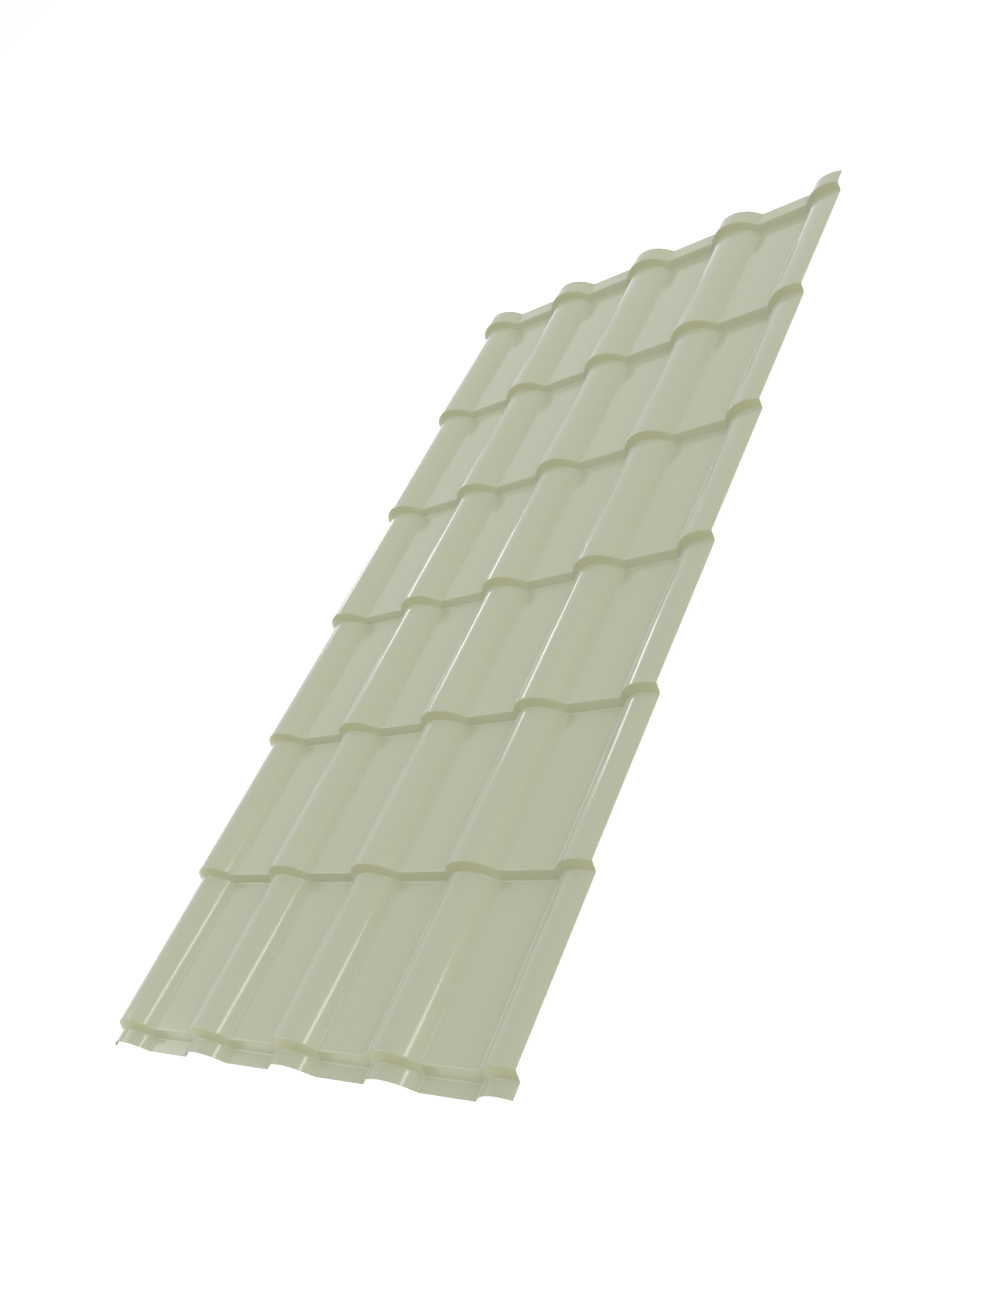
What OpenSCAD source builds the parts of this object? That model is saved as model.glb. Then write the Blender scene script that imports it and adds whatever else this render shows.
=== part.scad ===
/* [Wave] */
// Distance from one crest to the next across the sheet
wave_pitch = 275; // [250:1:320]
// Height of a crest above the valleys
crest_height = 32.4; // [22:0.1:38]
// Width of a crest where its arc would meet the valley
crest_width = 139.6; // [120:0.2:160]
// Inside bend radius where a crest runs into a valley
valley_bend_radius = 6; // [3:0.5:10]
// Full crests with a valley on their right, counted across the sheet
wave_count = 4; // [2:1:5]

/* [Side edges] */
// Height of the narrow crest on the left edge, which goes under the next sheet
lap_crest_height = 30; // [22:0.1:38]
// Width of that narrow crest where its arc would meet the valley
lap_crest_width = 133; // [110:1:140]
// How far the sheet runs past the middle of its last crest on the right edge
cover_lip = 33.2; // [10:0.2:50]

/* [Tile steps] */
// Distance from one step to the next up the slope
step_pitch = 350; // [300:5:400]
// Height that each step is pressed
step_height = 17.6; // [10:0.2:22]
// Length of the sloping face of a step, seen from above
step_run = 10.8; // [8:0.2:24]
// Bend radius at the top and the foot of a step
step_bend_radius = 3; // [1:0.5:5]
// Number of steps up the sheet
step_count = 7; // [2:1:8]
// Length of the short flat below the first step
eaves_stub = 28.8; // [15:0.2:60]
// Length of the short flat above the last step
ridge_stub = 43.8; // [15:0.2:80]

/* [Steel] */
// Thickness of the coated steel
sheet_thickness = 0.5; // [0.4:0.05:1]

/* [Hidden] */
// Straight pieces that stand for one crest arc and for one bend
crest_facets = 14;
bend_facets = 2;

// Radius of an arc from its width and its height
function arc_radius(width, height) = (width * width / 4 + height * height) / (2 * height);

// Angle at which a crest arc meets the round bend beside it
function bend_angle(radius, height) =
    acos((radius - height + valley_bend_radius) / (radius + valley_bend_radius));

// A profile point holds the place across, the height and the slope angle there
function crest_point(middle, radius, height, angle) =
    [middle + radius * sin(angle), height - radius + radius * cos(angle), -angle];

// Half the width of a crest with the bends at its feet
function half_foot(radius, height) =
    (radius + valley_bend_radius) * sin(bend_angle(radius, height));

// Points over the top of a crest between two angles, from left to right
function crest_arc(middle, radius, height, from_angle, to_angle, facets) =
    [for (i = [0 : facets])
        crest_point(middle, radius, height, from_angle + (to_angle - from_angle) * i / facets)];

// Points of the bend at the right foot of a crest, down to the valley
function right_bend(middle, radius, height) =
    let (start = bend_angle(radius, height))
    [for (i = [1 : bend_facets])
        let (angle = start * (1 - i / bend_facets))
        [middle + half_foot(radius, height) - valley_bend_radius * sin(angle),
         valley_bend_radius * (1 - cos(angle)), -angle]];

// Points of the bend at the left foot of a crest, up from the valley
function left_bend(middle, radius, height) =
    let (finish = bend_angle(radius, height))
    [for (i = [0 : bend_facets - 1])
        let (angle = finish * i / bend_facets)
        [middle - half_foot(radius, height) + valley_bend_radius * sin(angle),
         valley_bend_radius * (1 - cos(angle)), angle]];

crest_radius = arc_radius(crest_width, crest_height);
crest_angle = bend_angle(crest_radius, crest_height);
lap_radius = arc_radius(lap_crest_width, lap_crest_height);
lap_angle = bend_angle(lap_radius, lap_crest_height);

// The first crest is narrower, and its right foot keeps the place of a full crest's
lap_middle = half_foot(crest_radius, crest_height) - half_foot(lap_radius, lap_crest_height);
lap_foot_angle = asin(lap_crest_width / 2 / lap_radius);
cover_angle = asin(cover_lip / crest_radius);
cover_facets = ceil(crest_facets * (crest_angle + cover_angle) / (2 * crest_angle));

// The whole wave profile, with zero across at the middle of a full first crest
wave_profile = concat(
    crest_arc(lap_middle, lap_radius, lap_crest_height, -lap_foot_angle, lap_angle, crest_facets),
    right_bend(lap_middle, lap_radius, lap_crest_height),
    [for (wave = [1 : wave_count - 1])
        let (middle = wave * wave_pitch)
        each concat(
            left_bend(middle, crest_radius, crest_height),
            crest_arc(middle, crest_radius, crest_height, -crest_angle, crest_angle, crest_facets),
            right_bend(middle, crest_radius, crest_height))],
    left_bend(wave_count * wave_pitch, crest_radius, crest_height),
    crest_arc(wave_count * wave_pitch, crest_radius, crest_height,
        -crest_angle, cover_angle, cover_facets));

// Slope angles of the steps and of the flats between them, up the sheet
step_angle = atan(step_height / step_run);
tile_fall_angle = -atan(step_height / (step_pitch - step_run));
bend_tangent = step_bend_radius * tan((step_angle - tile_fall_angle) / 2);
foot_angle = (step_angle + tile_fall_angle) / 2;

// A row holds the place up the slope, the height and the slope angle there
function row_point(place, height, run, angle, slope_angle) =
    [place + run * cos(slope_angle), height + run * sin(slope_angle), angle];

// Four rows make one step, with a short flat in place of each bend
function step_rows(step) =
    let (foot = step * step_pitch, top = foot + step_run)
    [row_point(foot, 0, -bend_tangent, (tile_fall_angle + foot_angle) / 2, tile_fall_angle),
     row_point(foot, 0, bend_tangent, (step_angle + foot_angle) / 2, step_angle),
     row_point(top, step_height, -bend_tangent, (step_angle + foot_angle) / 2, step_angle),
     row_point(top, step_height, bend_tangent, (tile_fall_angle + foot_angle) / 2, tile_fall_angle)];

eaves_row = [-eaves_stub, -eaves_stub * tan(tile_fall_angle), 0];
ridge_row = [
    (step_count - 1) * step_pitch + step_run + ridge_stub,
    step_height + ridge_stub * tan(tile_fall_angle),
    0];
slope_rows = concat(
    [eaves_row],
    [for (step = [0 : step_count - 1]) each step_rows(step)],
    [ridge_row]);

// The underside lies one thickness below the top, square to the surface
function under_point(point, row) =
    let (
        across = tan(point[2]),
        along = tan(row[2]),
        steepness = sqrt(1 + across * across + along * along))
    [point[0] + sheet_thickness * across / steepness,
     row[0] + sheet_thickness * along / steepness,
     point[1] + row[1] - sheet_thickness / steepness];

points_across = len(wave_profile);
rows_up = len(slope_rows);
layer_size = points_across * rows_up;
top_points = [for (row = slope_rows) for (point = wave_profile)
    [point[0], row[0], point[1] + row[1]]];
under_points = [for (row = slope_rows) for (point = wave_profile) under_point(point, row)];

// Number of a point in the list, with layer 0 for the top and 1 for the underside
function index(layer, row, column) = layer * layer_size + row * points_across + column;

top_faces = [for (r = [0 : rows_up - 2]) for (c = [0 : points_across - 2])
    [index(0, r, c), index(0, r + 1, c), index(0, r + 1, c + 1), index(0, r, c + 1)]];
under_faces = [for (r = [0 : rows_up - 2]) for (c = [0 : points_across - 2])
    [index(1, r, c), index(1, r, c + 1), index(1, r + 1, c + 1), index(1, r + 1, c)]];
side_faces = [for (r = [0 : rows_up - 2]) each [
    [index(0, r, 0), index(1, r, 0), index(1, r + 1, 0), index(0, r + 1, 0)],
    [index(0, r, points_across - 1), index(0, r + 1, points_across - 1),
     index(1, r + 1, points_across - 1), index(1, r, points_across - 1)]]];
end_faces = [for (c = [0 : points_across - 2]) each [
    [index(0, 0, c), index(0, 0, c + 1), index(1, 0, c + 1), index(1, 0, c)],
    [index(0, rows_up - 1, c), index(1, rows_up - 1, c),
     index(1, rows_up - 1, c + 1), index(0, rows_up - 1, c + 1)]]];

// Middle of the sheet across and along, which goes to the origin
left_edge = wave_profile[0][0];
right_edge = wave_profile[points_across - 1][0];
middle_across = (left_edge + right_edge) / 2;
middle_along = (eaves_row[0] + ridge_row[0]) / 2;

// One sheet of steel, rolled into waves across and pressed into steps up the slope
module tile_sheet() {
    color("#B6BAA3")
        translate([-middle_across, -middle_along, sheet_thickness])
            polyhedron(
                points = concat(top_points, under_points),
                faces = concat(top_faces, under_faces, side_faces, end_faces),
                convexity = 10);
}

tile_sheet();
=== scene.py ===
import math

import bmesh
import bpy
from mathutils import Matrix, Vector


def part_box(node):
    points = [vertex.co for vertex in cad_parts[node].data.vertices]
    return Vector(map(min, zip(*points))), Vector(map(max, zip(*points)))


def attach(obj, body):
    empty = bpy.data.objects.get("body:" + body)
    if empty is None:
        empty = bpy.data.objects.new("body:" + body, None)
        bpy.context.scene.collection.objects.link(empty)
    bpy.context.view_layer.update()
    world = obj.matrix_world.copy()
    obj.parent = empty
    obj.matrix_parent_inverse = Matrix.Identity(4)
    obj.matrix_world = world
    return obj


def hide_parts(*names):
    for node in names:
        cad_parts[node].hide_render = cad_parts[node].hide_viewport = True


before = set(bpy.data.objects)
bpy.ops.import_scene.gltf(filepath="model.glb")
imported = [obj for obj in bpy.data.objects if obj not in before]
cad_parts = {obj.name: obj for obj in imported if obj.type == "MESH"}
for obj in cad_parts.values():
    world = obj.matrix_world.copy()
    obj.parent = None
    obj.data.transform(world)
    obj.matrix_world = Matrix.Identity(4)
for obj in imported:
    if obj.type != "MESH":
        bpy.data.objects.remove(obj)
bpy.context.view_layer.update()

# Tile sheet: one piece of thin galvanised steel, painted on the coil before anything is
# shaped. A roll former bends it into waves, a press then sinks a step into it for each
# tile, and a shear cuts its ends. It lies loose on the undersides of its valleys.
STEEL = 0.0005
WAVE_PITCH = 0.275
CREST_HEIGHT = 0.0324
CREST_WIDTH = 0.1396
LAP_CREST_HEIGHT = 0.03
LAP_CREST_WIDTH = 0.133
VALLEY_BEND = 0.006
WAVES = 4
STEP_PITCH = 0.35
STEP_HEIGHT = 0.0176
STEP_RUN = 0.0108
STEP_BEND = 0.003
STEPS = 7
EAVES_STUB = 0.0288

# How finely each stretch of the sheet is divided. A flat has a short part at each end, so
# that the shading of a bend stays within the bend.
CREST_PARTS = 30
VALLEY_BEND_PARTS = 6
VALLEY_PARTS = 3
STEP_BEND_PARTS = 4
STEP_FACE_PARTS = 2
TILE_PARTS = 8
STUB_PARTS = 2
FLAT_END = 0.001

# Share of the pressed tone that a step has in the valleys, against its crests. The lower share
# # is painted shade: the steps on the crests are made deeper, to match the shade in the valleys
VALLEY_PRESS_AND_SHADE = 0.4

sheet_low, sheet_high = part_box("tile_sheet")
step_slope = math.atan2(STEP_HEIGHT, STEP_RUN)
tile_slope = -math.atan2(STEP_HEIGHT, STEP_PITCH - STEP_RUN)
bend_reach = STEP_BEND * math.tan((step_slope - tile_slope) / 2)


def arc_radius(width, height):
    """Radius of a crest from its width and its height."""
    return (width * width / 4 + height * height) / (2 * height)


def foot_slope(radius, height):
    """Slope at which a crest runs into the round bend at its foot."""
    return math.acos((radius - height + VALLEY_BEND) / (radius + VALLEY_BEND))


def foot_reach(radius, height):
    """Half the width of a crest with the bends at its feet."""
    return (radius + VALLEY_BEND) * math.sin(foot_slope(radius, height))


crest_radius = arc_radius(CREST_WIDTH, CREST_HEIGHT)
crest_slope = foot_slope(crest_radius, CREST_HEIGHT)
crest_reach = foot_reach(crest_radius, CREST_HEIGHT)
lap_radius = arc_radius(LAP_CREST_WIDTH, LAP_CREST_HEIGHT)
lap_slope = foot_slope(lap_radius, LAP_CREST_HEIGHT)
lap_reach = foot_reach(lap_radius, LAP_CREST_HEIGHT)
lap_middle = sheet_low.x + LAP_CREST_WIDTH / 2
first_middle = lap_middle + lap_reach - crest_reach
cover_lip = sheet_high.x - first_middle - WAVES * WAVE_PITCH
valley_width = WAVE_PITCH - 2 * crest_reach
valley_level = STEEL - EAVES_STUB * math.tan(tile_slope)

sheet = bmesh.new()
press_and_shade = sheet.verts.layers.float.new("press_and_shade")
climb = sheet.verts.layers.float.new("climb")


def draw_arc(tip, middle, level, angle, parts):
    """Draws the profile on from its last point, round a centre, and gives its new last point."""
    centre = (middle, sheet_low.y, level)
    spun = bmesh.ops.spin(
        sheet, geom=[tip], cent=centre, axis=(0, 1, 0), angle=angle, steps=parts)
    return spun["geom_last"][0]


def flat_parts(length, parts):
    """Lengths of the parts of a flat, the first and the last of them short."""
    return [FLAT_END] + [(length - 2 * FLAT_END) / parts] * parts + [FLAT_END]


def draw_flat(tip, width):
    """Draws the profile on from its last point, level across a valley."""
    for part in flat_parts(width, VALLEY_PARTS):
        tip = bmesh.ops.extrude_vert_indiv(sheet, verts=[tip])["verts"][0]
        bmesh.ops.translate(sheet, verts=[tip], vec=(part, 0, 0))
    return tip


# The profile starts at the left edge, over the narrow crest and down into its valley
bend_level = valley_level + VALLEY_BEND
lap_centre = valley_level + LAP_CREST_HEIGHT - lap_radius
crest_centre = valley_level + CREST_HEIGHT - crest_radius
lap_start = math.asin(LAP_CREST_WIDTH / 2 / lap_radius)
tip = sheet.verts.new((sheet_low.x, sheet_low.y, valley_level))
tip = draw_arc(tip, lap_middle, lap_centre, lap_start + lap_slope, CREST_PARTS)
tip = draw_arc(tip, lap_middle + lap_reach, bend_level, -lap_slope, VALLEY_BEND_PARTS)
for wave in range(1, WAVES + 1):
    middle = first_middle + wave * WAVE_PITCH
    tip = draw_flat(tip, valley_width)
    tip = draw_arc(tip, middle - crest_reach, bend_level, -crest_slope, VALLEY_BEND_PARTS)
    if wave < WAVES:
        tip = draw_arc(tip, middle, crest_centre, 2 * crest_slope, CREST_PARTS)
        tip = draw_arc(tip, middle + crest_reach, bend_level, -crest_slope, VALLEY_BEND_PARTS)
lip_slope = math.asin(cover_lip / crest_radius)
tip = draw_arc(tip, middle, crest_centre, crest_slope + lip_slope, CREST_PARTS)


def straight_moves(slope, length, parts, pressed):
    """Moves of the profile up one flat, each with its share of the pressed, partly shaded tone.
    """
    heading = Vector((0, math.cos(slope), math.sin(slope)))
    return [(heading * part, pressed) for part in flat_parts(length, parts)]


def bend_moves(slope, next_slope, pressed, next_pressed):
    """Moves of the profile round one bend, from one slope and pressed, partly shaded tone to the
    next.
    """
    moves = []
    for part in range(STEP_BEND_PARTS):
        angle = slope + (next_slope - slope) * (part + 0.5) / STEP_BEND_PARTS
        chord = 2 * STEP_BEND * math.sin(abs(next_slope - slope) / STEP_BEND_PARTS / 2)
        share = pressed + (next_pressed - pressed) * (part + 1) / STEP_BEND_PARTS
        moves.append((Vector((0, math.cos(angle), math.sin(angle))) * chord, share))
    return moves


tile_length = (STEP_PITCH - STEP_RUN) / math.cos(tile_slope) - 2 * bend_reach
step_length = STEP_HEIGHT / math.sin(step_slope) - 2 * bend_reach
eaves_length = EAVES_STUB / math.cos(tile_slope) - bend_reach
ridge_stub = sheet_high.y - sheet_low.y - EAVES_STUB - (STEPS - 1) * STEP_PITCH - STEP_RUN
ridge_length = ridge_stub / math.cos(tile_slope) - bend_reach

moves = straight_moves(tile_slope, eaves_length, STUB_PARTS, 0)
for step in range(STEPS):
    moves += bend_moves(tile_slope, step_slope, 0, 1)
    moves += straight_moves(step_slope, step_length, STEP_FACE_PARTS, 1)
    moves += bend_moves(step_slope, tile_slope, 1, 0)
    if step < STEPS - 1:
        moves += straight_moves(tile_slope, tile_length, TILE_PARTS, 0)
moves += straight_moves(tile_slope, ridge_length, STUB_PARTS, 0)


def mark_row(verts, pressed):
    """Notes on each point how far up a crest it lies, and its share of the pressed tone with its
    painted shade.
    """
    valley_floor = min(vert.co.z for vert in verts)
    for vert in verts:
        vert[climb] = (vert.co.z - valley_floor) / CREST_HEIGHT
        vert[press_and_shade] = pressed * (VALLEY_PRESS_AND_SHADE + (1 - VALLEY_PRESS_AND_SHADE) * vert[climb])


mark_row(sheet.verts, 0)
row = list(sheet.edges)
for move, pressed in moves:
    made = bmesh.ops.extrude_edge_only(sheet, edges=row)["geom"]
    row = [item for item in made if isinstance(item, bmesh.types.BMEdge)]
    row_verts = [item for item in made if isinstance(item, bmesh.types.BMVert)]
    bmesh.ops.translate(sheet, verts=row_verts, vec=move)
    mark_row(row_verts, pressed)

bmesh.ops.recalc_face_normals(sheet, faces=sheet.faces)
sheet.faces.ensure_lookup_table()
if sheet.faces[0].normal.z < 0:
    bmesh.ops.reverse_faces(sheet, faces=sheet.faces)
for face in sheet.faces:
    face.smooth = True
for edge in sheet.edges:
    edge.smooth = not edge.is_boundary

tile_sheet_mesh = bpy.data.meshes.new("painted_tile_sheet")
sheet.to_mesh(tile_sheet_mesh)
sheet.free()
tile_sheet = bpy.data.objects.new("painted_tile_sheet", tile_sheet_mesh)
bpy.context.scene.collection.objects.link(tile_sheet)

# The steel lies under the drawn surface, with its own finish below and on the cut edges
wall = tile_sheet.modifiers.new("steel", "SOLIDIFY")
wall.thickness = STEEL
wall.offset = -1
wall.use_even_offset = True
wall.use_quality_normals = True
wall.material_offset = 1
wall.material_offset_rim = 2


def linear(hex_colour):
    """Linear red, green, blue and alpha of an sRGB hex colour."""
    shares = [int(hex_colour[at:at + 2], 16) / 255 for at in (1, 3, 5)]
    return [s / 12.92 if s <= 0.04045 else ((s + 0.055) / 1.055) ** 2.4 for s in shares] + [1]


def add_node(tree, kind, settings, inputs):
    """Adds a node with its settings, and with values or other nodes' outputs on its inputs."""
    node = tree.nodes.new(kind)
    for name, value in settings.items():
        setattr(node, name, value)
    slots = {slot.identifier: slot for slot in node.inputs}
    for name, value in inputs.items():
        if isinstance(value, bpy.types.NodeSocket):
            tree.links.new(value, slots[name])
        else:
            slots[name].default_value = value
    return node


# Polyester coil coat: a satin film rolled on in one pass and baked. It is even to the
# # eye, with faint bands along the coil and a fine orange peel that softens what it mirrors.
# # The pressed step faces are duller and deeper in tone, which is partly painted shade,
# # and the crests hold a painted shade as well.
PAINT_COLOUR = "#B1B59B"
PAINT_BAND_COLOUR = "#ADB197"
# Step faces: partly the pressed coat's deeper tone, partly painted shade
PAINT_PRESSED_AND_SHADED_COLOUR = "#A6A881"
# Painted shade: the crests a shade deeper, to match the shade that falls in the valleys, so that
# they look alike in soft light
PAINT_CREST_PAINTED_SHADE = "#FBFBFC"
PAINT_ROUGHNESS = 0.1
PAINT_PRESSED_ROUGHNESS = 0.42
PAINT_IOR = 1.5
# Fitted, not known of the real coat: it lifts the steep edges that the light leaves dim
PAINT_SHEEN = 0.4
PAINT_SHEEN_ROUGHNESS = 0.3
BAND_WIDTH = 0.03
BAND_LENGTH = 0.9
# Real orange peel is 1 to 2 mm across, drawn wider so that it shows
PEEL_WIDTH = 0.004
PEEL_DEPTH = 0.0000005
# Thin sheet is never quite flat between its bends
WAVINESS_WIDTH = 0.11
WAVINESS_DEPTH = 0.000003

paint = bpy.data.materials.new("polyester_coil_coat")
paint.use_nodes = True
tree = paint.node_tree
shader = tree.nodes["Principled BSDF"]
place = add_node(tree, "ShaderNodeTexCoord", {}, {}).outputs["Object"]
press_and_shade_share = add_node(
    tree, "ShaderNodeAttribute", {"attribute_name": "press_and_shade"}, {}).outputs["Fac"]
along_coil = add_node(
    tree, "ShaderNodeMapping", {},
    {"Vector": place, "Scale": (1 / BAND_WIDTH, 1 / BAND_LENGTH, 1 / BAND_WIDTH)})
bands = add_node(
    tree, "ShaderNodeTexNoise", {},
    {"Vector": along_coil.outputs["Vector"], "Scale": 1, "Detail": 3})
even_tone = add_node(
    tree, "ShaderNodeMix", {"data_type": "RGBA"},
    {"Factor_Float": bands.outputs["Fac"], "A_Color": linear(PAINT_COLOUR),
     "B_Color": linear(PAINT_BAND_COLOUR)})
climbed = add_node(
    tree, "ShaderNodeAttribute", {"attribute_name": "climb"}, {}).outputs["Fac"]
# Painted shade: deeper the higher a point lies up a crest
crest_shaded_tone = add_node(
    tree, "ShaderNodeMix", {"data_type": "RGBA", "blend_type": "MULTIPLY"},
    {"Factor_Float": climbed, "A_Color": even_tone.outputs["Result"],
     "B_Color": linear(PAINT_CREST_PAINTED_SHADE)})
# Painted shade in part: the step faces take the deeper pressed tone
tone = add_node(
    tree, "ShaderNodeMix", {"data_type": "RGBA"},
    {"Factor_Float": press_and_shade_share, "A_Color": crest_shaded_tone.outputs["Result"],
     "B_Color": linear(PAINT_PRESSED_AND_SHADED_COLOUR)})
dullness = add_node(
    tree, "ShaderNodeMapRange", {},
    {"Value": press_and_shade_share, "To Min": PAINT_ROUGHNESS, "To Max": PAINT_PRESSED_ROUGHNESS})
waviness = add_node(
    tree, "ShaderNodeTexNoise", {}, {"Vector": place, "Scale": 1 / WAVINESS_WIDTH, "Detail": 1})
waved = add_node(
    tree, "ShaderNodeBump", {},
    {"Strength": 1, "Distance": WAVINESS_DEPTH, "Height": waviness.outputs["Fac"]})
peel = add_node(
    tree, "ShaderNodeTexNoise", {}, {"Vector": place, "Scale": 1 / PEEL_WIDTH, "Detail": 1})
peeled = add_node(
    tree, "ShaderNodeBump", {},
    {"Strength": 1, "Distance": PEEL_DEPTH, "Height": peel.outputs["Fac"],
     "Normal": waved.outputs["Normal"]})
tree.links.new(tone.outputs["Result"], shader.inputs["Base Color"])
tree.links.new(dullness.outputs["Result"], shader.inputs["Roughness"])
tree.links.new(peeled.outputs["Normal"], shader.inputs["Normal"])
shader.inputs["IOR"].default_value = PAINT_IOR
shader.inputs["Sheen Weight"].default_value = PAINT_SHEEN
shader.inputs["Sheen Roughness"].default_value = PAINT_SHEEN_ROUGHNESS

# Backing coat: a thin matt primer on the side that nobody sees, a greyer tone than the
# face, with the drag lines of the roller that put it on.
BACKING_COLOUR = "#C3C5B3"
BACKING_DRAG_COLOUR = "#B8BAA7"
BACKING_ROUGHNESS = 0.55
DRAG_WIDTH = 0.006
DRAG_LENGTH = 0.4

backing = bpy.data.materials.new("epoxy_backing_coat")
backing.use_nodes = True
tree = backing.node_tree
shader = tree.nodes["Principled BSDF"]
place = add_node(tree, "ShaderNodeTexCoord", {}, {}).outputs["Object"]
along_coil = add_node(
    tree, "ShaderNodeMapping", {},
    {"Vector": place, "Scale": (1 / DRAG_WIDTH, 1 / DRAG_LENGTH, 1 / DRAG_WIDTH)})
drag = add_node(
    tree, "ShaderNodeTexNoise", {},
    {"Vector": along_coil.outputs["Vector"], "Scale": 1, "Detail": 4})
tone = add_node(
    tree, "ShaderNodeMix", {"data_type": "RGBA"},
    {"Factor_Float": drag.outputs["Fac"], "A_Color": linear(BACKING_COLOUR),
     "B_Color": linear(BACKING_DRAG_COLOUR)})
tree.links.new(tone.outputs["Result"], shader.inputs["Base Color"])
shader.inputs["Roughness"].default_value = BACKING_ROUGHNESS

# Cut edge: bare steel between two skins of zinc, left bright by the shear
EDGE_COLOUR = "#A9ABA6"
EDGE_DARK_COLOUR = "#8C8D86"
EDGE_ROUGHNESS = 0.42
SHEAR_MARK = 0.002

cut_edge = bpy.data.materials.new("sheared_galvanised_steel")
cut_edge.use_nodes = True
tree = cut_edge.node_tree
shader = tree.nodes["Principled BSDF"]
place = add_node(tree, "ShaderNodeTexCoord", {}, {}).outputs["Object"]
marks = add_node(
    tree, "ShaderNodeTexNoise", {}, {"Vector": place, "Scale": 1 / SHEAR_MARK, "Detail": 2})
tone = add_node(
    tree, "ShaderNodeMix", {"data_type": "RGBA"},
    {"Factor_Float": marks.outputs["Fac"], "A_Color": linear(EDGE_COLOUR),
     "B_Color": linear(EDGE_DARK_COLOUR)})
tree.links.new(tone.outputs["Result"], shader.inputs["Base Color"])
shader.inputs["Metallic"].default_value = 1
shader.inputs["Roughness"].default_value = EDGE_ROUGHNESS

for finish in (paint, backing, cut_edge):
    tile_sheet_mesh.materials.append(finish)
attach(tile_sheet, "root")
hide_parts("tile_sheet")

# Camera: it stands to the right of the eaves end at about head height, looks up the
# sheet from low over its right edge, and is rolled to its side.
CAMERA_PLACE = (2.17525, -1.60652, 1.50832)
CAMERA_HEADING = 52.840
CAMERA_TILT = 63.752
CAMERA_ROLL = -45.448
CAMERA_LENS = 39.151
CAMERA_SHIFT = (0.02788, -0.09164)

camera_data = bpy.data.cameras.new("camera")
camera_data.lens = CAMERA_LENS
camera_data.shift_x, camera_data.shift_y = CAMERA_SHIFT
camera = bpy.data.objects.new("camera", camera_data)
camera.matrix_world = (
    Matrix.Translation(CAMERA_PLACE)
    @ Matrix.Rotation(math.radians(CAMERA_HEADING), 4, "Z")
    @ Matrix.Rotation(math.radians(CAMERA_TILT), 4, "X")
    @ Matrix.Rotation(math.radians(CAMERA_ROLL), 4, "Z"))
bpy.context.scene.collection.objects.link(camera)
bpy.context.scene.camera = camera


def background_seen(tree):
    """Adds an output that is 1 for the camera's, mirrored and refracted rays, 0 for diffuse."""
    path = add_node(tree, "ShaderNodeLightPath", {}, {}).outputs
    direct = add_node(
        tree, "ShaderNodeMath", {"operation": "MAXIMUM"},
        {"Value": path["Is Camera Ray"], "Value_001": path["Is Transmission Ray"]})
    shown = add_node(
        tree, "ShaderNodeMath", {"operation": "MAXIMUM"},
        {"Value": direct.outputs["Value"], "Value_001": path["Is Glossy Ray"]})
    return shown.outputs["Value"]


# Floor: a plain pale sheet that runs out of the picture on every side. The camera and
# mirrors see it near white, with the soft shadow of the tile sheet left on it.
FLOOR_SIZE = 120
FLOOR_DROP = 0.0002
FLOOR_COLOUR = "#F0F0F0"
FLOOR_GLOW = 0.68

floor_shape = bmesh.new()
bmesh.ops.create_grid(floor_shape, x_segments=1, y_segments=1, size=FLOOR_SIZE / 2)
bmesh.ops.translate(floor_shape, verts=floor_shape.verts, vec=(0, 0, -FLOOR_DROP))
floor_mesh = bpy.data.meshes.new("floor")
floor_shape.to_mesh(floor_mesh)
floor_shape.free()
floor = bpy.data.objects.new("floor", floor_mesh)
bpy.context.scene.collection.objects.link(floor)

paper = bpy.data.materials.new("white_paper")
paper.use_nodes = True
tree = paper.node_tree
shader = tree.nodes["Principled BSDF"]
shader.inputs["Base Color"].default_value = linear(FLOOR_COLOUR)
shader.inputs["Roughness"].default_value = 1
shader.inputs["Specular IOR Level"].default_value = 0
glow = add_node(
    tree, "ShaderNodeMath", {"operation": "MULTIPLY"},
    {"Value": background_seen(tree), "Value_001": FLOOR_GLOW})
shader.inputs["Emission Color"].default_value = linear("#FFFFFF")
tree.links.new(glow.outputs["Value"], shader.inputs["Emission Strength"])
floor_mesh.materials.append(paper)

# Light: a white dome, brighter towards the camera's side and towards the horizon, which
# the camera and mirrors see as plain white. Two strip lights far off draw the thin bright
# lines along the crests, and a soft panel lights the flanks that face away.
DOME_STRENGTH = 1.15
DOME_TILT = (0.47, -0.08, -0.32)
BACKGROUND_STRENGTH = 1
LIGHT_DISTANCE = 100
STRIP_COLOUR = "#F4FFFC"

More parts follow.
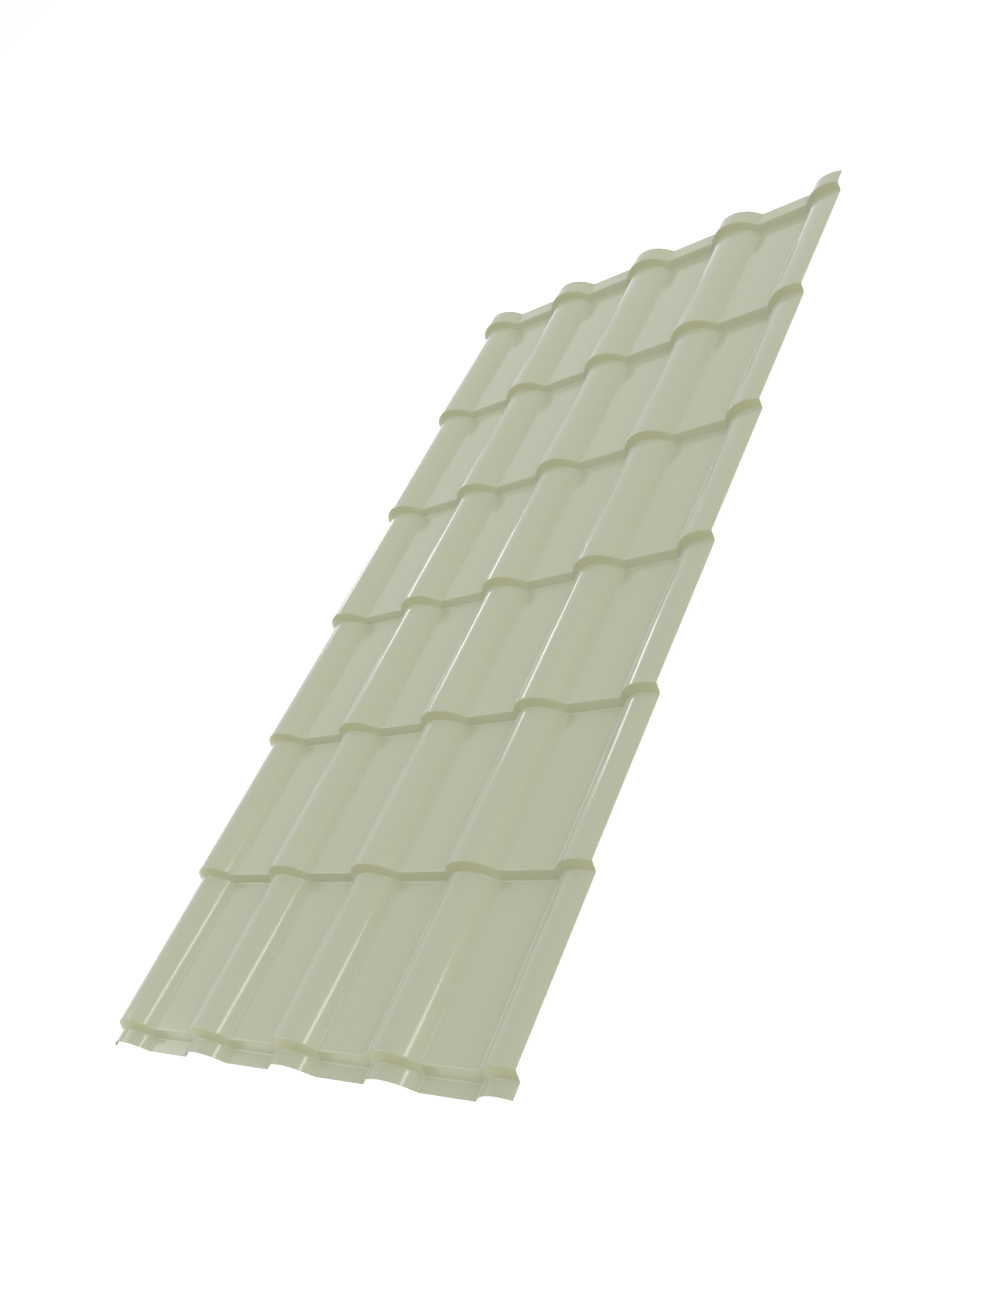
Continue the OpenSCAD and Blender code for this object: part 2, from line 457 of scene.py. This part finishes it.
world = bpy.data.worlds.new("studio")
world.use_nodes = True
bpy.context.scene.world = world
tree = world.node_tree
dome = tree.nodes["Background"]
direction = add_node(tree, "ShaderNodeTexCoord", {}, {}).outputs["Generated"]
leaning = add_node(
    tree, "ShaderNodeVectorMath", {"operation": "DOT_PRODUCT"},
    {"Vector": direction, "Vector_001": DOME_TILT})
strength = add_node(
    tree, "ShaderNodeMath", {"operation": "ADD"},
    {"Value": leaning.outputs["Value"], "Value_001": DOME_STRENGTH})
chosen = add_node(
    tree, "ShaderNodeMix", {"data_type": "FLOAT"},
    {"Factor_Float": background_seen(tree), "A_Float": strength.outputs["Value"],
     "B_Float": BACKGROUND_STRENGTH})
dome.inputs["Color"].default_value = linear("#FFFFFF")
tree.links.new(chosen.outputs["Result"], dome.inputs["Strength"])


def strip_light(name, heading, height, roll, length, width, radiance):
    """A far strip light whose angles, from the sheet, are all in degrees."""
    data = bpy.data.lights.new(name, "AREA")
    data.shape = "RECTANGLE"
    data.size = 2 * LIGHT_DISTANCE * math.tan(math.radians(length) / 2)
    data.size_y = 2 * LIGHT_DISTANCE * math.tan(math.radians(width) / 2)
    data.energy = radiance * math.pi * data.size * data.size_y
    data.color = linear(STRIP_COLOUR)[:3]
    light = bpy.data.objects.new(name, data)
    light.matrix_world = (
        Matrix.Rotation(-math.radians(heading), 4, "Z")
        @ Matrix.Rotation(math.radians(height), 4, "X")
        @ Matrix.Translation((0, LIGHT_DISTANCE, 0))
        @ Matrix.Rotation(math.radians(-90), 4, "X")
        @ Matrix.Rotation(math.radians(roll), 4, "Z"))
    light.visible_camera = False
    bpy.context.scene.collection.objects.link(light)


strip_light(
    "high_strip", heading=31, height=70.8, roll=65, length=14.5, width=3.4, radiance=6.6)
strip_light(
    "low_strip", heading=-57.6, height=7.5, roll=65, length=14, width=4, radiance=2.85)
strip_light(
    "side_panel", heading=-90, height=40, roll=0, length=26, width=24, radiance=1.5)

bpy.context.scene.view_settings.view_transform = "Standard"
